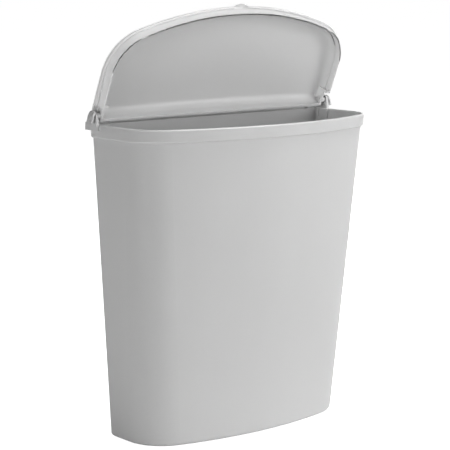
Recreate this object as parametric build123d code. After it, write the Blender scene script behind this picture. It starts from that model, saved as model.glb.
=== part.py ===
from build123d import *
import math
import os

# Wall-hung waste bin with a flip-up lid, in millimetres.
# Every piece is drawn in the bin's own frame: X to the right, Y towards the wall, Z up,
# with the tub's base at z = 0 and the tub's flat back at y = 0. At the end all pieces move
# together, so that the origin is the middle of the screw pattern on the wall's surface.

# Tub: a D-shaped plan that widens upwards. Sizes are the outside of the wall.
RIM_Z = 317.8
TOP_HALF_WIDTH = 147.5
TOP_DEPTH = 115.0
TOP_FRONT_RADIUS = 334.0
TOP_CORNER_RADIUS = 41.0
BASE_HALF_WIDTH = 128.6
BASE_DEPTH = 82.8
BASE_FRONT_RADIUS = 385.0
BASE_CORNER_RADIUS = 44.0
WALL = 2.4
FLOOR = 2.8
BASE_EDGE_RADIUS = 5.0
INNER_EDGE_RADIUS = 4.0
OVERSHOOT = 4.0

# Rim band round the mouth
RIM_HEIGHT = 13.3
RIM_PROUD = 2.5
RIM_CHAMFER = 0.8

# Hinge
AXIS_Y = -8.5
AXIS_Z = RIM_Z + 9.0
LID_OPEN_ANGLE = 67.5
PIN_RADIUS = 1.6
EAR_BORE_RADIUS = 1.62
KNUCKLE_BORE_RADIUS = 1.68

# Ear plates: they carry the pins, and reach back past the tub as side guides
EAR_INNER_X = 149.5
EAR_OUTER_X = 152.0
EAR_TOP_RADIUS = 4.4
EAR_FRONT_Y = -15.2
EAR_LOW_Z = RIM_Z - 5.4
GUIDE_BACK_Y = 6.0
GUIDE_TOP_Z = RIM_Z + 3.0

# Thickened root of each ear, inside the mouth
PAD_INNER_X = 143.4
PAD_OUTER_X = 145.7
PAD_FRONT_Y = -20.8
PAD_DROP = 14.0
PAD_RIB_YS = (-2.4, -7.2)
PAD_RIB_WIDTH = 1.0
PAD_RIB_PROUD = 0.8
PAD_RIB_DROP = 9.0

# Hooks on the tub's back, which hang over the rail's lip
HOOK_X = 80.0
HOOK_WIDTH = 40.0
HOOK_WEB_LOW_Z = RIM_Z - 5.5
HOOK_WEB_THICKNESS = 2.0
HOOK_LEG_FRONT_Y = 4.7
HOOK_LEG_BACK_Y = 6.3
HOOK_LEG_LOW_Z = RIM_Z - 16.0

# Lid, drawn closed
LIP_Z = RIM_Z + 0.8
REAR_LIP_Z = AXIS_Z - 2.8
LID_INNER_GROW = -0.7
LID_FRONT_REACH = 0.6
LID_FRONT_RADIUS = 342.0
LID_CORNER_RADIUS = 43.0
LIP_THICKNESS = 1.2
SKIRT_THICKNESS = 2.9
LID_WALL = 2.4
LID_STEP = 1.0
LID_BACK_Y = -3.0
CROWN_TOP_Z = RIM_Z + 24.6
CROWN_RADIUS = 1900.0
LID_EDGE_RADIUS = 10.5
LID_INNER_EDGE_RADIUS = 8.5
BEAD_LOW_Z = LIP_Z + 7.7
BEAD_HEIGHT = 4.8
BEAD_SLOPE = 2.2
BEAD_GROW = 4.4
BEAD_EDGE_RADIUS = 0.8
NOTCH_FRONT_Y = -19.5
NOTCH_INNER_X = 145.0
KNUCKLE_RADIUS = 2.8
KNUCKLE_INNER_X = 143.6
KNUCKLE_OUTER_X = 148.9
BROW_OUTER_X = 150.6
BROW_LOW_Z = AXIS_Z + 5.2
BROW_TOP_Z = AXIS_Z + 7.2
BROW_BACK_Y = -7.4
TAB_RADIUS = 15.8
TAB_PROUD = 2.3
TAB_HEIGHT = 3.1

# Hinge pins: a round shaft with a chamfered tip inboard and a hooded thumb head outboard
PIN_TIP_X = 144.0
PIN_TIP_CHAMFER = 0.5
HEAD_INNER_X = 152.3
HEAD_OUTER_X = 156.2
HEAD_FLARE_X = 157.9
HEAD_TOP_Z = AXIS_Z + 5.1
HEAD_LOW_Z = AXIS_Z - 6.8
HEAD_FRONT_Y = AXIS_Y - 4.4
HEAD_BACK_Y = AXIS_Y + 4.6
HEAD_FRONT_RADIUS = 3.2
HEAD_BACK_RADIUS = 1.6
HEAD_SHELL = 1.4

# Wall rail
WALL_GAP = 9.0
RAIL_THICKNESS = 2.4
RAIL_HALF_WIDTH = 136.0
RAIL_TOP_Z = RIM_Z + 1.5
RAIL_LIP_FRONT_Y = 2.6
RAIL_LIP_BACK_Y = 4.4
RAIL_LIP_TOP_Z = RIM_Z - 5.8
RAIL_SHELF_LOW_Z = RIM_Z - 20.0
RAIL_SHELF_THICKNESS = 2.0
RAIL_ARM_X = 148.0
RAIL_ARM_LOW_Z = RIM_Z - 5.0
RAIL_ARM_FRONT_Y = 2.6
PLATE_HALF_WIDTH = 116.0
PLATE_LOW_Z = RIM_Z - 64.0
PLATE_CORNER_RADIUS = 8.0
SCREW_X = 100.0
SCREW_HIGH_Z = RIM_Z - 32.0
SCREW_LOW_Z = RIM_Z - 54.0
SCREW_HOLE_RADIUS = 2.25

# Rubber buffers that keep the tub upright against the wall
BUFFER_X = 90.0
BUFFER_Z = 42.0
BUFFER_RADIUS = 11.0
BUFFER_EDGE_RADIUS = 2.0

SCREW_MIDDLE_Z = (SCREW_HIGH_Z + SCREW_LOW_Z) / 2
TO_WALL_FRAME = Pos(0, -WALL_GAP, -SCREW_MIDDLE_Z)
SIDES = {"left": -1, "right": 1}


def plan(half_width, depth, front_radius, corner_radius, back_y=0.0):
    """D-shaped outline: a bowed front, two corner arcs, straight sides and a flat back."""
    front_centre_y = front_radius - depth
    corner_x = half_width - corner_radius
    reach = front_radius - corner_radius
    corner_y = front_centre_y - math.sqrt(reach**2 - corner_x**2)
    turn = math.atan2(corner_x, front_centre_y - corner_y)
    join_x = front_radius * math.sin(turn)
    join_y = front_centre_y - front_radius * math.cos(turn)
    half_turn = (math.pi / 2 + turn) / 2
    mid_x = corner_x + corner_radius * math.sin(half_turn)
    mid_y = corner_y - corner_radius * math.cos(half_turn)
    edges = [
        Line((-half_width, back_y), (-half_width, corner_y)),
        ThreePointArc((-half_width, corner_y), (-mid_x, mid_y), (-join_x, join_y)),
        ThreePointArc((-join_x, join_y), (0, -depth), (join_x, join_y)),
        ThreePointArc((join_x, join_y), (mid_x, mid_y), (half_width, corner_y)),
        Line((half_width, corner_y), (half_width, back_y)),
        Line((half_width, back_y), (-half_width, back_y)),
    ]
    return make_face(edges)


def tub_plan(z, grow=0.0, back_y=0.0):
    """The tub's outline at height z, grown outwards everywhere but at the back."""
    share = z / RIM_Z

    def blend(base, top):
        return base + (top - base) * share

    face = plan(
        blend(BASE_HALF_WIDTH, TOP_HALF_WIDTH) + grow,
        blend(BASE_DEPTH, TOP_DEPTH) + grow,
        blend(BASE_FRONT_RADIUS, TOP_FRONT_RADIUS) + grow,
        blend(BASE_CORNER_RADIUS, TOP_CORNER_RADIUS) + grow,
        back_y,
    )
    return Pos(0, 0, z) * face


def lid_plan(grow, back_y=LID_BACK_Y):
    """The lid's outline: the tub's outline at the rim, with a slightly fuller front."""
    return plan(
        TOP_HALF_WIDTH + grow,
        TOP_DEPTH + LID_FRONT_REACH + grow,
        LID_FRONT_RADIUS + grow,
        LID_CORNER_RADIUS + grow,
        back_y,
    )


def block(x_range, y_range, z_range):
    """A box between two values on each axis."""
    size = [high - low for low, high in (x_range, y_range, z_range)]
    middle = [(low + high) / 2 for low, high in (x_range, y_range, z_range)]
    return Pos(*middle) * Box(*size)


def side_range(side, inner, outer):
    """The x range from inner to outer on the left (-1) or the right (1)."""
    return tuple(sorted((side * inner, side * outer)))


def bar_along_x(side, inner, outer, radius, y=AXIS_Y, z=AXIS_Z):
    """A round bar between two x distances on one side of the bin."""
    middle = side * (inner + outer) / 2
    return Pos(middle, y, z) * Rot(0, 90, 0) * Cylinder(radius, outer - inner)


def plate_across_x(points_face, side, inner, outer):
    """Extrude a face drawn in the Y-Z plane between two x distances on one side."""
    low, high = side_range(side, inner, outer)
    return Pos(low, 0, 0) * extrude(Plane.YZ * points_face, high - low)


def tub_shell():
    """The tapered wall, floor and rim band."""
    outside = loft([tub_plan(0), tub_plan(RIM_Z)], ruled=True)
    outside = fillet(outside.faces().sort_by(Axis.Z)[0].edges(), BASE_EDGE_RADIUS)
    band_low_z = RIM_Z - RIM_HEIGHT
    band = loft(
        [
            tub_plan(band_low_z, 0.4),
            tub_plan(band_low_z + RIM_PROUD - RIM_CHAMFER, RIM_PROUD),
            tub_plan(RIM_Z - RIM_CHAMFER, RIM_PROUD),
            tub_plan(RIM_Z, RIM_PROUD - RIM_CHAMFER),
        ],
        ruled=True,
    )
    inside = loft([tub_plan(FLOOR, -WALL, -WALL), tub_plan(RIM_Z + OVERSHOOT, -WALL, -WALL)], ruled=True)
    inside = fillet(inside.faces().sort_by(Axis.Z)[0].edges(), INNER_EDGE_RADIUS)
    return outside + band, inside


def ear(side):
    """One ear plate: it carries a pin, and its tail reaches back beside the rail's end."""
    top = Pos(AXIS_Y, AXIS_Z) * Circle(EAR_TOP_RADIUS)
    tail = make_face(
        Polyline(
            (AXIS_Y - EAR_TOP_RADIUS * 0.97, AXIS_Z + 1.2),
            (EAR_FRONT_Y, EAR_LOW_Z),
            (GUIDE_BACK_Y, EAR_LOW_Z),
            (GUIDE_BACK_Y, GUIDE_TOP_Z - 1.4),
            (GUIDE_BACK_Y - 2.2, GUIDE_TOP_Z),
            (AXIS_Y + EAR_TOP_RADIUS * 0.97, AXIS_Z - 1.2),
            (AXIS_Y, AXIS_Z),
            close=True,
        )
    )
    return plate_across_x(top + tail, side, EAR_INNER_X, EAR_OUTER_X)


def ear_pad(side):
    """The thick root below one ear, inside the mouth, with two short ribs."""
    low_z = RIM_Z - PAD_DROP
    outline = make_face(
        Polyline(
            (PAD_FRONT_Y, low_z + 1.5),
            (PAD_FRONT_Y, RIM_Z),
            (-WALL / 2, RIM_Z),
            (-WALL / 2, low_z - 4),
            (PAD_FRONT_Y + 4, low_z - 4),
            close=True,
        )
    )
    pad = plate_across_x(outline, side, PAD_INNER_X, PAD_OUTER_X)
    for y in PAD_RIB_YS:
        x_range = side_range(side, PAD_INNER_X - PAD_RIB_PROUD, PAD_INNER_X + 1)
        y_range = (y - PAD_RIB_WIDTH / 2, y + PAD_RIB_WIDTH / 2)
        pad += block(x_range, y_range, (RIM_Z - PAD_RIB_DROP, RIM_Z - 0.5))
    return pad


def hook(x):
    """One hook on the tub's back, open downwards."""
    x_range = (x - HOOK_WIDTH / 2, x + HOOK_WIDTH / 2)
    web_top_z = HOOK_WEB_LOW_Z + HOOK_WEB_THICKNESS
    web = block(x_range, (-WALL / 2, HOOK_LEG_BACK_Y), (HOOK_WEB_LOW_Z, web_top_z))
    leg = block(x_range, (HOOK_LEG_FRONT_Y, HOOK_LEG_BACK_Y), (HOOK_LEG_LOW_Z, web_top_z))
    return web + leg


def tub():
    """The moulded tub, with its rim, ears and hooks in one piece."""
    outside, inside = tub_shell()
    shell = outside - inside
    for side in SIDES.values():
        shell += ear(side) + ear_pad(side) + hook(side * HOOK_X)
        shell -= bar_along_x(side, EAR_INNER_X - 1, EAR_OUTER_X + 1, EAR_BORE_RADIUS)
    return shell


def crowned(face, low_z, top_z, edge_radius):
    """Extrude a lid outline from low_z up to a crown with rounded edges, highest along the middle."""
    column = extrude(Pos(0, 0, low_z) * face, top_z + 2 * OVERSHOOT - low_z)
    roof = Pos(0, 0, top_z - CROWN_RADIUS) * Rot(90, 0, 0) * Cylinder(CROWN_RADIUS, 4 * TOP_DEPTH)
    solid = column & roof
    crown = solid.faces().sort_by(Axis.Z)[-1]
    return fillet(crown.edges(), edge_radius)


def lid_bead():
    """The bead round the lid's front and sides, taller towards the back, with the finger tab."""
    ring = extrude(Pos(0, 0, BEAD_LOW_Z) * lid_plan(BEAD_GROW, NOTCH_FRONT_Y), 2 * BEAD_HEIGHT)
    above = Pos(0, -TOP_DEPTH / 2, BEAD_LOW_Z + BEAD_HEIGHT) * Rot(BEAD_SLOPE, 0, 0)
    ring -= above * Pos(0, 0, TOP_DEPTH / 2) * Box(4 * TOP_DEPTH, 4 * TOP_DEPTH, TOP_DEPTH)
    by_height = ring.faces().sort_by(Axis.Z)
    flat_ends = (by_height[0], by_height[-1])
    curved = [edge for face in flat_ends for edge in face.edges() if edge.geom_type != GeomType.LINE]
    ring = fillet(curved, BEAD_EDGE_RADIUS)
    tab_y = -(TOP_DEPTH + LID_FRONT_REACH + BEAD_GROW) - TAB_PROUD + TAB_RADIUS
    tab = Pos(0, tab_y, BEAD_LOW_Z + TAB_HEIGHT / 2) * Cylinder(TAB_RADIUS, TAB_HEIGHT)
    return ring + tab


def brow(side):
    """The thin end of the bead that passes over one ear."""
    x_range = side_range(side, NOTCH_INNER_X - LID_WALL, BROW_OUTER_X)
    bar = block(x_range, (NOTCH_FRONT_Y - 1, BROW_BACK_Y), (BROW_LOW_Z, BROW_TOP_Z))
    outer_end = bar.faces().sort_by(Axis.X)[-1 if side > 0 else 0]
    return fillet(outer_end.edges(), BEAD_EDGE_RADIUS * 0.7)


def lid_skirt():
    """The skirt below the bead, thin at its lip and thicker upwards."""
    foot = Pos(0, 0, LIP_Z) * lid_plan(LID_INNER_GROW + LIP_THICKNESS, NOTCH_FRONT_Y)
    head = Pos(0, 0, BEAD_LOW_Z + 1.5) * lid_plan(LID_INNER_GROW + SKIRT_THICKNESS, NOTCH_FRONT_Y)
    return loft([foot, head], ruled=True)


def notch(side, grow, top_z):
    """The space beside one rear corner of the lid, where the ear stands."""
    far_x = TOP_HALF_WIDTH + BEAD_GROW + OVERSHOOT
    x_range = side_range(side, NOTCH_INNER_X - grow, far_x)
    return block(x_range, (NOTCH_FRONT_Y - grow, OVERSHOOT), (LIP_Z - 2 * OVERSHOOT, top_z))


def lid_closed():
    """The moulded lid over the closed mouth."""
    far_x = TOP_HALF_WIDTH + BEAD_GROW + OVERSHOOT
    dome_grow = LID_INNER_GROW - LID_STEP
    inner_back_y = LID_BACK_Y - LID_WALL
    mouth_face = Pos(0, 0, LIP_Z - OVERSHOOT) * lid_plan(LID_INNER_GROW, inner_back_y)
    mouth = extrude(mouth_face, OVERSHOOT + BEAD_LOW_Z - LIP_Z)
    outside = crowned(lid_plan(dome_grow + LID_WALL), LIP_Z, CROWN_TOP_Z, LID_EDGE_RADIUS)
    inner_face = lid_plan(dome_grow, inner_back_y)
    inside = crowned(inner_face, LIP_Z, CROWN_TOP_Z - LID_WALL, LID_INNER_EDGE_RADIUS)
    for side in SIDES.values():
        outside -= notch(side, 0, BROW_LOW_Z)
        outside += brow(side)
        mouth -= notch(side, LID_WALL, BROW_LOW_Z + LID_WALL)
        inside -= notch(side, LID_WALL, BROW_LOW_Z + LID_WALL)
    shell = outside + lid_bead() + lid_skirt()
    shell -= inside + mouth
    shell -= block((-far_x, far_x), (NOTCH_FRONT_Y, OVERSHOOT), (LIP_Z - 1, REAR_LIP_Z))
    for side in SIDES.values():
        shell += bar_along_x(side, NOTCH_INNER_X - 1, KNUCKLE_OUTER_X, KNUCKLE_RADIUS)
        shell -= bar_along_x(side, KNUCKLE_INNER_X, KNUCKLE_OUTER_X + 1, KNUCKLE_BORE_RADIUS)
    return shell


def lid():
    """The lid, standing open about its hinge line."""
    open_up = Pos(0, AXIS_Y, AXIS_Z) * Rot(-LID_OPEN_ANGLE, 0, 0) * Pos(0, -AXIS_Y, -AXIS_Z)
    return open_up * lid_closed()


def thumb_head():
    """The right pin's head: a hood open at the front and below, with a flared lower lip."""
    profile = make_face(
        [
            Line((HEAD_INNER_X, HEAD_LOW_Z + 1.6), (HEAD_INNER_X, HEAD_TOP_Z)),
            ThreePointArc(
                (HEAD_INNER_X, HEAD_TOP_Z),
                (HEAD_INNER_X + 2.2, HEAD_TOP_Z - 2.6),
                (HEAD_OUTER_X, AXIS_Z - 2.6),
            ),
            Line((HEAD_OUTER_X, AXIS_Z - 2.6), (HEAD_FLARE_X, HEAD_LOW_Z)),
            Line((HEAD_FLARE_X, HEAD_LOW_Z), (HEAD_INNER_X, HEAD_LOW_Z + 1.6)),
        ]
    )
    hood = Pos(0, HEAD_BACK_Y, 0) * extrude(Plane.XZ * profile, HEAD_BACK_Y - HEAD_FRONT_Y)
    rounded = block((HEAD_INNER_X, HEAD_FLARE_X), (HEAD_FRONT_Y, HEAD_BACK_Y), (HEAD_LOW_Z, HEAD_TOP_Z))
    top_edges = rounded.edges().filter_by(Axis.X).group_by(Axis.Z)[-1].sort_by(Axis.Y)
    rounded = fillet(top_edges[0], HEAD_FRONT_RADIUS)
    top_edges = rounded.edges().filter_by(Axis.X).group_by(Axis.Z)[-1].sort_by(Axis.Y)
    rounded = fillet(top_edges[-1], HEAD_BACK_RADIUS)
    hollow = Pos(-HEAD_SHELL, -HEAD_SHELL, -HEAD_SHELL) * hood
    return (hood & rounded) - hollow


def pin_right():
    """The right hinge pin: a shaft with a chamfered tip, and the thumb head."""
    shaft = bar_along_x(1, PIN_TIP_X, HEAD_OUTER_X - HEAD_SHELL / 2, PIN_RADIUS)
    tip_edge = shaft.edges().sort_by(Axis.X)[0]
    return chamfer(tip_edge, PIN_TIP_CHAMFER) + thumb_head()


def wall_rail():
    """The rail that is screwed to the wall: a plate, an upward lip, and two end arms."""
    back = (WALL_GAP - RAIL_THICKNESS, WALL_GAP)
    rail = block((-RAIL_HALF_WIDTH, RAIL_HALF_WIDTH), back, (RAIL_SHELF_LOW_Z, RAIL_TOP_Z))
    shelf_top_z = RAIL_SHELF_LOW_Z + RAIL_SHELF_THICKNESS
    full = (-RAIL_HALF_WIDTH, RAIL_HALF_WIDTH)
    rail += block(full, (RAIL_LIP_FRONT_Y, WALL_GAP), (RAIL_SHELF_LOW_Z, shelf_top_z))
    rail += block(full, (RAIL_LIP_FRONT_Y, RAIL_LIP_BACK_Y), (RAIL_SHELF_LOW_Z, RAIL_LIP_TOP_Z))
    rail += block((-RAIL_ARM_X, -RAIL_HALF_WIDTH), (RAIL_ARM_FRONT_Y, WALL_GAP), (RAIL_ARM_LOW_Z, RAIL_TOP_Z))
    rail += block((RAIL_HALF_WIDTH, RAIL_ARM_X), (RAIL_ARM_FRONT_Y, WALL_GAP), (RAIL_ARM_LOW_Z, RAIL_TOP_Z))
    plate = block((-PLATE_HALF_WIDTH, PLATE_HALF_WIDTH), back, (PLATE_LOW_Z, RAIL_SHELF_LOW_Z + 1))
    low_corners = plate.edges().filter_by(Axis.Y).group_by(Axis.Z)[0]
    rail += fillet(low_corners, PLATE_CORNER_RADIUS)
    for x in (-SCREW_X, SCREW_X):
        for z in (SCREW_LOW_Z, SCREW_HIGH_Z):
            rail -= Pos(x, WALL_GAP, z) * Rot(90, 0, 0) * Cylinder(SCREW_HOLE_RADIUS, 4 * RAIL_THICKNESS)
    return rail


def wall_buffer(side):
    """One rubber buffer on the tub's back."""
    disc = Pos(side * BUFFER_X, WALL_GAP / 2, BUFFER_Z) * Rot(90, 0, 0) * Cylinder(BUFFER_RADIUS, WALL_GAP)
    outer_edge = disc.faces().sort_by(Axis.Y)[-1].edges()
    return fillet(outer_edge, BUFFER_EDGE_RADIUS)


def save(name, shape):
    """Move a piece to the wall frame and write it."""
    export_step(TO_WALL_FRAME * shape, f"parts/{name}.step")


os.makedirs("parts", exist_ok=True)
save("tub", tub())
save("lid", lid())
right_pin = pin_right()
save("hinge_pin_right", right_pin)
save("hinge_pin_left", mirror(right_pin, Plane.YZ))
save("wall_rail", wall_rail())
for name, side in SIDES.items():
    save(f"wall_buffer_{name}", wall_buffer(side))
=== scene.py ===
"""A wall-hung waste bin with a flip lid: its materials, light and camera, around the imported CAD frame."""
import math

import bpy
import numpy as np
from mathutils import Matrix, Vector


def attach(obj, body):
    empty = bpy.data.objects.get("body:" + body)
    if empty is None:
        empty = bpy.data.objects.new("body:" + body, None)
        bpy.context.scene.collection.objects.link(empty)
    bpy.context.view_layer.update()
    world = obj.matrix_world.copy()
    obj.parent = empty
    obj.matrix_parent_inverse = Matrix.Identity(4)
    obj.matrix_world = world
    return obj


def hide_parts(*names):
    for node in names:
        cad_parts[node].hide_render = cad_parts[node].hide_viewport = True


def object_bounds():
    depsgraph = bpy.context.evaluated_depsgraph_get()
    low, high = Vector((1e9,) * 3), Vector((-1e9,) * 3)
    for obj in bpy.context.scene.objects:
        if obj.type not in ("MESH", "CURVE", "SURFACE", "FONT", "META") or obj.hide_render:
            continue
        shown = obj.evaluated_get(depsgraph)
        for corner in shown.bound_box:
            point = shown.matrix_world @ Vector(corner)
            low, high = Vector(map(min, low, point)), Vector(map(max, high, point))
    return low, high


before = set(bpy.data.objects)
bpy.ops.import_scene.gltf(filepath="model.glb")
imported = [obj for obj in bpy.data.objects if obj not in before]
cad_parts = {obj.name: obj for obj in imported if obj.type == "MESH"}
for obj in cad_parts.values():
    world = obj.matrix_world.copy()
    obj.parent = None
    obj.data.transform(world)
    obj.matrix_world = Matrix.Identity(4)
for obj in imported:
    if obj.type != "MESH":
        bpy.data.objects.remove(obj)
cad_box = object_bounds()

# Camera, in metres.
CAMERA_PLACE = (-1.0899, -1.3704, 0.20775)
CAMERA_AIM = (-0.029686, -0.069, -0.060823)
CAMERA_LENS_MM = 136.0
CAMERA_SENSOR_MM = 36.0

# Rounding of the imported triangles: the parts each edge is divided into, the distance within which two
# corners are one, and the cosines above which two normals agree and a triangle counts as flat.
PATCH_STEPS = 2
WELD = 2e-7
SAME_NORMAL = 0.9998
STRAIGHT = 0.99996
TINY = 1e-12

# A triangle's edges run between corners 0-1, 1-2 and 2-0.
EDGES = ((0, 1), (1, 2), (2, 0))

# The closed lid's outline in metres, with y from the tub's back, and the lid's hinge line and rest angle.
LID_HALF_WIDTH = 0.1475
LID_DEPTH = 0.1156
LID_FRONT_RADIUS = 0.342
LID_CORNER_RADIUS = 0.043
LID_HINGE = (0.0, -0.0175, 0.052)
LID_HINGE_Y = -0.0085
LID_OPEN_ANGLE = 67.5
CROWN_RADIUS = 1.9

# The lid's crowned surfaces, outer and inner: facing (1 out, -1 in), growth of the outline, back, top above
# the hinge line, and edge radius. A corner is on one within this distance, if its normal is also near.
LID_SURFACES = (
    (1, 0.0007, -0.003, 0.0156, 0.0105),
    (-1, -0.0017, -0.0054, 0.0132, 0.0085),
)
ON_SURFACE = 0.00006
NEAR_NORMAL = 0.8

# Floor sheets: their step down from the tub's base and from each other, half their side, and their look.
FLOOR_DROP = 0.0006
FLOOR_HALF = 30.0
FLOOR_COLOUR = (0.9, 0.9, 0.9)
FLOOR_ROUGHNESS = 0.9
FLOOR_GLOW = 1.0
SURROUND_STRENGTH = 1.0

# Softboxes: name, azimuth, elevation, distance, size in metres, power in watts.
LIGHT_AIM = (0.0, -0.06, -0.06)
SOFTBOXES = (
    ("rear_right", -120, 8, 2.4, 1.1, 7.0),
    ("right_high", -60, 62, 2.4, 1.1, 32.0),
    ("left", 75, 6, 2.4, 0.45, 15.0),
    ("key", -30, 8, 2.4, 1.1, 17.0),
    ("key_high", -30, 35, 2.4, 1.1, 8.0),
    ("key_side", -60, 8, 2.4, 1.1, 6.0),
    ("rear", 180, 8, 2.4, 1.1, 14.0),
    ("overhead", 8, 81, 1.7, 0.9, 4.5),
)
LID_SOFTBOXES = (
    ("lid_back", -120, 15, 2.0, 0.8, 8.0),
    ("lid_left", 60, 15, 2.0, 0.8, 12.0),
    ("lid_front", -30, 15, 2.0, 0.8, 2.0),
)

# Plastics and rubber: linear colours, and the light that passes through a plastic wall.
PLASTIC = (0.64, 0.64, 0.64)
PIN_PLASTIC = (0.65, 0.65, 0.65)
RAIL_PLASTIC = (0.62, 0.62, 0.62)
RUBBER = (0.035, 0.035, 0.036)
PLASTIC_IOR = 1.49
CLOUDINESS = 0.6
CLOUD_DEPTH = 0.003

# The usual span of a noise texture, and the cosines between a real and a bevelled normal at which an edge's
# mark begins and is full: a painted highlight lightens the colour there, and wear lowers the roughness.
NOISE_LOW = 0.3
NOISE_HIGH = 0.7
EDGE_WEAR_AND_HIGHLIGHT_BEGINS = 0.995
EDGE_WEAR_AND_HIGHLIGHT_FULL = 0.90


class Graph:
    """One node material, with short calls that add its nodes and join them."""

    def __init__(self, name):
        self.material = bpy.data.materials.new(name)
        self.material.use_nodes = True
        self.tree = self.material.node_tree
        self.shader = self.tree.nodes["Principled BSDF"]

    def put(self, socket, value):
        """Joins a node's output to a socket, or sets the socket to a plain value."""
        if isinstance(value, bpy.types.NodeSocket):
            self.tree.links.new(value, socket)
        else:
            socket.default_value = value

    def add(self, kind, inputs, **settings):
        """Makes a node with these inputs and settings."""
        made = self.tree.nodes.new(kind)
        for name, value in settings.items():
            setattr(made, name, value)
        for name, value in inputs.items():
            self.put(made.inputs[name], value)
        return made

    def place(self, scale):
        """Object coordinates, stretched by scale along each axis."""
        coords = self.add("ShaderNodeTexCoord", {})
        return self.add("ShaderNodeMapping", {"Vector": coords.outputs["Object"], "Scale": scale}).outputs[0]

    def noise(self, scale, detail, roughness=0.5, stretch=(1, 1, 1)):
        """Noise in object space, with scale waves to the metre."""
        inputs = {"Vector": self.place(stretch), "Scale": scale, "Detail": detail, "Roughness": roughness}
        return self.add("ShaderNodeTexNoise", inputs).outputs["Fac"]

    def spread(self, value, low, high, to_low, to_high):
        """Maps the span low to high onto the span to_low to to_high."""
        inputs = {"Value": value, "From Min": low, "From Max": high, "To Min": to_low, "To Max": to_high}
        return self.add("ShaderNodeMapRange", inputs).outputs["Result"]

    def drift(self, noise, to_low, to_high):
        """Maps a noise's usual span onto the span to_low to to_high."""
        return self.spread(noise, NOISE_LOW, NOISE_HIGH, to_low, to_high)

    def maths(self, operation, a, b):
        return self.add("ShaderNodeMath", {0: a, 1: b}, operation=operation).outputs[0]

    def edges(self, radius):
        """About 1 where the surface turns sharply within the radius, and 0 on flat parts."""
        bevel = self.add("ShaderNodeBevel", {"Radius": radius}, samples=6)
        geometry = self.add("ShaderNodeNewGeometry", {})
        turn = self.add(
            "ShaderNodeVectorMath",
            {0: bevel.outputs[0], 1: geometry.outputs["Normal"]},
            operation="DOT_PRODUCT",
        )
        return self.spread(turn.outputs["Value"], EDGE_WEAR_AND_HIGHLIGHT_BEGINS, EDGE_WEAR_AND_HIGHLIGHT_FULL, 0.0, 1.0)

    def tint(self, colour, factor):
        """The colour made lighter or darker by a factor that changes over the surface."""
        return self.add("ShaderNodeVectorMath", {0: colour, "Scale": factor}, operation="SCALE").outputs[0]

    def bump(self, height, depth, normal=None):
        """A normal bent by a height map that is depth metres deep, on top of another normal if given."""
        inputs = {"Height": height, "Distance": depth, "Strength": 1.0}
        if normal is not None:
            inputs["Normal"] = normal
        return self.add("ShaderNodeBump", inputs).outputs["Normal"]


def moulded_plastic(name, colour, roughness, streak):
    """Satin, slightly cloudy plastic: eroded grain, faint flow marks along the draw, and rubbed edges that
    are smoother and painted lighter as a highlight.
    """
    g = Graph(name)
    cloud = g.noise(scale=7.0, detail=3.0)
    flow = g.noise(scale=9.0, detail=4.0, roughness=0.55, stretch=streak)
    speck = g.noise(scale=900.0, detail=2.0)
    grain = g.noise(scale=2600.0, detail=2.0, roughness=0.6)
    edge = g.edges(radius=0.0012)

    shade = g.drift(cloud, 0.985, 1.015)
    shade = g.maths("MULTIPLY", shade, g.drift(flow, 0.988, 1.012))
    shade = g.maths("MULTIPLY", shade, g.drift(speck, 0.992, 1.008))
    # Sharp edges are painted lighter: a painted highlight along the edges.
    shade = g.maths("ADD", shade, g.maths("MULTIPLY", edge, 0.05))
    g.put(g.shader.inputs["Base Color"], g.tint(colour, shade))

    rough = g.drift(flow, roughness - 0.03, roughness + 0.03)
    rough = g.maths("ADD", rough, g.drift(speck, -0.02, 0.02))
    rough = g.maths("SUBTRACT", rough, g.maths("MULTIPLY", edge, 0.08))
    g.put(g.shader.inputs["Roughness"], rough)

    waves = g.bump(cloud, depth=0.0004)
    g.put(g.shader.inputs["Normal"], g.bump(grain, depth=0.00002, normal=waves))
    g.shader.inputs["IOR"].default_value = PLASTIC_IOR
    g.shader.inputs["Subsurface Weight"].default_value = CLOUDINESS
    g.shader.inputs["Subsurface Radius"].default_value = (1, 1, 1)
    g.shader.inputs["Subsurface Scale"].default_value = CLOUD_DEPTH
    return g.material


def rubber(name, colour):
    """Matt black rubber with a dusty bloom, and sharp edges painted lighter as a highlight."""
    g = Graph(name)
    bloom = g.noise(scale=160.0, detail=4.0)
    grain = g.noise(scale=1800.0, detail=3.0, roughness=0.65)
    edge = g.edges(radius=0.001)
    # The bloom varies the tone at random; sharp edges are painted lighter as a highlight.
    shade = g.maths("ADD", g.drift(bloom, 0.8, 1.35), g.maths("MULTIPLY", edge, 0.5))
    g.put(g.shader.inputs["Base Color"], g.tint(colour, shade))
    g.put(g.shader.inputs["Roughness"], g.drift(bloom, 0.68, 0.84))
    g.put(g.shader.inputs["Normal"], g.bump(grain, depth=0.00004))
    return g.material


def dress(material, *names):
    """Gives CAD nodes a material."""
    for name in names:
        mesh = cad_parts[name].data
        mesh.materials.clear()
        mesh.materials.append(material)


def plain_mesh(name, corners, faces):
    """A new object in the scene, from corner positions and faces."""
    mesh = bpy.data.meshes.new(name)
    mesh.from_pydata(corners, [], faces)
    made = bpy.data.objects.new(name, mesh)
    bpy.context.scene.collection.objects.link(made)
    return made


def corner_data(mesh):
    """Corner positions and normals of a triangle mesh, each as an array of triangles by corners by axes."""
    normals = np.empty(3 * len(mesh.corner_normals), np.float32)
    mesh.corner_normals.foreach_get("vector", normals)
    places = np.empty(3 * len(mesh.vertices), np.float32)
    mesh.vertices.foreach_get("co", places)
    corners = np.empty(len(mesh.loops), np.int32)
    mesh.loops.foreach_get("vertex_index", corners)
    places = places.reshape(-1, 3)[corners].reshape(-1, 3, 3)
    return places.astype(float), normals.reshape(-1, 3, 3).astype(float)


def unit(vectors):
    """The vectors at length 1."""
    return vectors / np.maximum(np.linalg.norm(vectors, axis=-1), TINY)[..., None]


def dot(a, b):
    """Dot products of matching vectors, with the last axis kept."""
    return np.einsum("...a,...a->...", a, b)[..., None]


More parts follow.
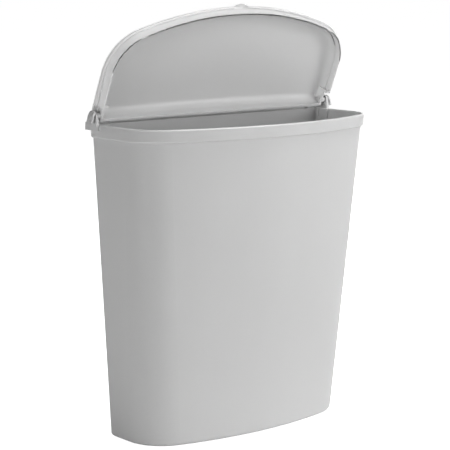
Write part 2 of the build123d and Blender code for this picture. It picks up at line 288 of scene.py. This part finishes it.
def outline_depth(x, y, grow, back_y):
    """Depth inside the closed lid's outline, and the outward direction of the nearest wall."""
    front_y = LID_FRONT_RADIUS - LID_DEPTH
    corner_x = LID_HALF_WIDTH - LID_CORNER_RADIUS
    corner_y = front_y - math.sqrt((LID_FRONT_RADIUS - LID_CORNER_RADIUS) ** 2 - corner_x**2)
    from_front, from_corner = np.hypot(x, y - front_y), np.hypot(abs(x) - corner_x, y - corner_y)
    zeros, side = np.zeros_like(x), np.sign(x)
    back = (back_y - y, zeros, zeros + 1)
    flank = (LID_HALF_WIDTH + grow - abs(x), side, zeros)
    front = (LID_FRONT_RADIUS + grow - from_front, x / from_front, (y - front_y) / from_front)
    corner = (
        LID_CORNER_RADIUS + grow - from_corner,
        side * (abs(x) - corner_x) / from_corner,
        (y - corner_y) / from_corner,
    )
    near_corner = np.arctan2(abs(x), front_y - y) > math.atan2(corner_x, front_y - corner_y)
    behind = [y > corner_y, near_corner]
    return [
        np.select(behind, [np.where(back[0] < flank[0], back[k], flank[k]), corner[k]], front[k])
        for k in range(3)
    ]


def crown_normals(points, grow, back_y, top, edge_radius):
    """Distances from a crowned solid's rounded surface, and the surface's outward normals there."""
    x, y, z = points.T
    depth, wall_x, wall_y = outline_depth(x, y, grow, back_y)
    arch_z = top - CROWN_RADIUS
    reach = np.hypot(x, z - arch_z)
    under = CROWN_RADIUS - reach
    wall = np.stack((wall_x, wall_y, 0 * x), 1)
    crown = np.stack((x / reach, 0 * x, (z - arch_z) / reach), 1)
    outward, upward = np.maximum(edge_radius - depth, 0), np.maximum(edge_radius - under, 0)
    mixed = outward[:, None] * wall + upward[:, None] * crown
    size = np.maximum(np.hypot(outward, upward), TINY)
    rounded = (outward > 0) & (upward > 0)
    distance = np.where(rounded, abs(size - edge_radius), np.minimum(abs(depth), abs(under)))
    plain = np.where((depth < under)[:, None], wall, crown)
    return distance, np.where(rounded[:, None], mixed / size[:, None], plain)


def true_lid_normals(places, normals):
    """The lid's normals, with those on its crowned surfaces replaced by the exact ones."""
    turn = math.radians(LID_OPEN_ANGLE)
    cosine, sine = math.cos(turn), math.sin(turn)
    closing = np.array(((1, 0, 0), (0, cosine, -sine), (0, sine, cosine)))
    shut = (places.reshape(-1, 3) - np.array(LID_HINGE)) @ closing.T + np.array((0.0, LID_HINGE_Y, 0.0))
    facing = normals.reshape(-1, 3) @ closing.T
    for sign, *surface in LID_SURFACES:
        distance, exact = crown_normals(shut, *surface)
        exact = unit(exact) * sign
        near = (distance < ON_SURFACE) & (dot(exact, facing)[:, 0] > NEAR_NORMAL)
        facing[near] = exact[near]
    return (facing @ closing).reshape(-1, 3, 3)


def sharp_edges(places, normals):
    """For each triangle's edge, True where the surface has a crease or an open border."""
    keys = np.round(places / WELD).astype(np.int64)
    sides = {}
    for face in range(len(places)):
        for edge, ends in enumerate(EDGES):
            near, far = sorted(ends, key=lambda corner: tuple(keys[face, corner]))
            ends_key = (tuple(keys[face, near]), tuple(keys[face, far]))
            sides.setdefault(ends_key, []).append((face, edge, normals[face, near], normals[face, far]))
    sharp = np.ones((len(places), 3), bool)
    for pair in sides.values():
        if len(pair) != 2:
            continue
        (face, edge, near, far), (other_face, other_edge, other_near, other_far) = pair
        if near @ other_near > SAME_NORMAL and far @ other_far > SAME_NORMAL:
            sharp[face, edge] = sharp[other_face, other_edge] = False
    return sharp


def patch_grid():
    """Weights of the three corners at a divided triangle's points, and the small triangles between them."""
    spots = [(i, j) for i in range(PATCH_STEPS + 1) for j in range(PATCH_STEPS + 1 - i)]
    index = {spot: k for k, spot in enumerate(spots)}
    faces = []
    for i, j in spots:
        if i + j < PATCH_STEPS:
            faces.append((index[i, j], index[i + 1, j], index[i, j + 1]))
        if i + j < PATCH_STEPS - 1:
            faces.append((index[i + 1, j], index[i + 1, j + 1], index[i, j + 1]))
    weights = [(1 - (i + j) / PATCH_STEPS, i / PATCH_STEPS, j / PATCH_STEPS) for i, j in spots]
    return weights, np.array(faces)


def curved_patches(corners, normals, crease):
    """Divides each triangle and swells it to follow its corner normals, as a cubic Bezier patch.

    Returns the new triangles' corner points and the normals there.
    """
    def pull(i, j, edge):
        """The control point a third of the way from corner i to corner j, in the plane of i's normal."""
        lift = np.where(crease[:, edge, None], 0.0, dot(corners[:, j] - corners[:, i], normals[:, i]))
        return (2 * corners[:, i] + corners[:, j] - lift * normals[:, i]) / 3

    def halfway(i, j):
        """The control normal between corners i and j."""
        along, both = corners[:, j] - corners[:, i], normals[:, i] + normals[:, j]
        return unit(both - 2 * dot(along, both) / np.maximum(dot(along, along), TINY) * along)

    towards = {}
    for edge, (i, j) in enumerate(EDGES):
        towards[i, j] = pull(i, j, edge)
        towards[j, i] = pull(j, i, edge)
    middle = {ends: halfway(*ends) for ends in EDGES}
    centre = sum(towards.values()) / 4 - corners.sum(axis=1) / 6
    weights, faces = patch_grid()
    points, turned = [], []
    for share in weights:
        point = 6 * share[0] * share[1] * share[2] * centre
        facing = sum(share[i] ** 2 * normals[:, i] for i in range(3))
        for i in range(3):
            point = point + share[i] ** 3 * corners[:, i]
        for (i, j), pulled in towards.items():
            point = point + 3 * share[i] ** 2 * share[j] * pulled
        for (i, j), between in middle.items():
            facing = facing + share[i] * share[j] * between
        points.append(point)
        turned.append(unit(facing))
    points, turned = np.stack(points, 1)[:, faces], np.stack(turned, 1)[:, faces]
    return points.reshape(-1, 3, 3), turned.reshape(-1, 3, 3)


def smooth_skin(node, body, material):
    """A piece with the CAD node's shape, but with its curved faces finely divided and rounded."""
    places, normals = corner_data(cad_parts[node].data)
    if node == "lid":
        normals = true_lid_normals(places, normals)
    flat = unit(np.cross(places[:, 1] - places[:, 0], places[:, 2] - places[:, 0]))
    curved = dot(normals, flat[:, None])[..., 0].min(axis=1) < STRAIGHT
    crease = sharp_edges(places, normals)
    points, turned = curved_patches(places[curved], normals[curved], crease[curved])
    spots = np.concatenate((places[~curved], points)).reshape(-1, 3)
    turned = np.concatenate((normals[~curved], turned))
    keys = np.round(spots / WELD).astype(np.int64)
    _, first, which = np.unique(keys, axis=0, return_index=True, return_inverse=True)
    faces = which.reshape(-1, 3)
    whole = (faces[:, 0] != faces[:, 1]) & (faces[:, 1] != faces[:, 2]) & (faces[:, 2] != faces[:, 0])
    skin = plain_mesh(node + "_skin", spots[first].tolist(), faces[whole].tolist())
    skin.data.shade_smooth()
    skin.data.normals_split_custom_set(turned[whole].reshape(-1, 3).tolist())
    skin.data.materials.append(material)
    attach(skin, body)
    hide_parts(node)
    return skin


def level_sheet(name, height, material):
    """A wide level sheet that is part of the studio, not of the bin."""
    corners = [(x * FLOOR_HALF, y * FLOOR_HALF, height) for x, y in ((-1, -1), (1, -1), (1, 1), (-1, 1))]
    sheet = plain_mesh(name, corners, [(0, 1, 2, 3)])
    sheet.data.materials.append(material)
    return sheet


def pale_floor():
    """A floor that glows white for the camera, and a plain sheet under it that only reflects the lights."""
    low = cad_box[0].z - FLOOR_DROP
    shade = Graph("pale_floor")
    mottle = shade.drift(shade.noise(scale=3.0, detail=2.0), 0.99, 1.01)
    shade.put(shade.shader.inputs["Base Color"], shade.tint(FLOOR_COLOUR, mottle))
    shade.shader.inputs["Roughness"].default_value = FLOOR_ROUGHNESS
    shade.shader.inputs["Emission Color"].default_value = (1, 1, 1, 1)
    shade.shader.inputs["Emission Strength"].default_value = FLOOR_GLOW
    floor = level_sheet("floor", low, shade.material)
    floor.visible_diffuse = False
    floor.visible_glossy = False
    floor.visible_shadow = False
    card = Graph("bounce_card")
    card.shader.inputs["Base Color"].default_value = (*FLOOR_COLOUR, 1)
    card.shader.inputs["Roughness"].default_value = FLOOR_ROUGHNESS
    bounce = level_sheet("bounce_sheet", low - FLOOR_DROP, card.material)
    bounce.visible_camera = False


def softbox(name, azimuth, elevation, distance, size, power):
    """A square area light aimed at the bin. Azimuth 0 is in front of it and 90 to its left, in degrees."""
    middle = Vector(LIGHT_AIM)
    turn, lift = math.radians(azimuth), math.radians(elevation)
    away = Vector((-math.sin(turn) * math.cos(lift), -math.cos(turn) * math.cos(lift), math.sin(lift)))
    light = bpy.data.lights.new(name, "AREA")
    light.size = size
    light.energy = power
    lamp = bpy.data.objects.new(name, light)
    bpy.context.scene.collection.objects.link(lamp)
    lamp.location = middle + away * distance
    lamp.rotation_euler = away.to_track_quat("Z", "Y").to_euler()
    lamp.visible_camera = False
    return lamp


def studio_light(lid_skin):
    """Softboxes for the light on the bin, some for the lid alone, and a white surround for the camera."""
    world = bpy.data.worlds.new("studio")
    world.use_nodes = True
    surround = world.node_tree.nodes["Background"]
    surround.inputs["Color"].default_value = (1, 1, 1, 1)
    surround.inputs["Strength"].default_value = SURROUND_STRENGTH
    world.cycles_visibility.diffuse = False
    world.cycles_visibility.glossy = False
    bpy.context.scene.world = world
    for name, *setup in SOFTBOXES:
        softbox(name, *setup)
    lid_only = bpy.data.collections.new("lid_only")
    lid_only.objects.link(lid_skin)
    for name, *setup in LID_SOFTBOXES:
        softbox(name, *setup).light_linking.receiver_collection = lid_only


def camera():
    """The camera, at the angle from which the bin is shown."""
    lens = bpy.data.cameras.new("camera")
    lens.lens = CAMERA_LENS_MM
    lens.sensor_width = CAMERA_SENSOR_MM
    made = bpy.data.objects.new("camera", lens)
    bpy.context.scene.collection.objects.link(made)
    made.location = CAMERA_PLACE
    made.rotation_euler = (Vector(CAMERA_AIM) - made.location).to_track_quat("-Z", "Y").to_euler()
    bpy.context.scene.camera = made


tub_plastic = moulded_plastic("tub_plastic", PLASTIC, roughness=0.36, streak=(1, 1, 0.06))
smooth_skin("tub", "tub", tub_plastic)
lid_plastic = moulded_plastic("lid_plastic", PLASTIC, roughness=0.36, streak=(1, 0.2, 0.2))
lid_skin = smooth_skin("lid", "lid", lid_plastic)
pin_plastic = moulded_plastic("pin_plastic", PIN_PLASTIC, roughness=0.32, streak=(0.3, 1, 1))
dress(pin_plastic, "hinge_pin_left", "hinge_pin_right")
rail_plastic = moulded_plastic("rail_plastic", RAIL_PLASTIC, roughness=0.38, streak=(0.08, 1, 1))
dress(rail_plastic, "wall_rail")
dress(rubber("buffer_rubber", RUBBER), "wall_buffer_left", "wall_buffer_right")
pale_floor()
studio_light(lid_skin)
camera()
bpy.context.scene.view_settings.view_transform = "Standard"
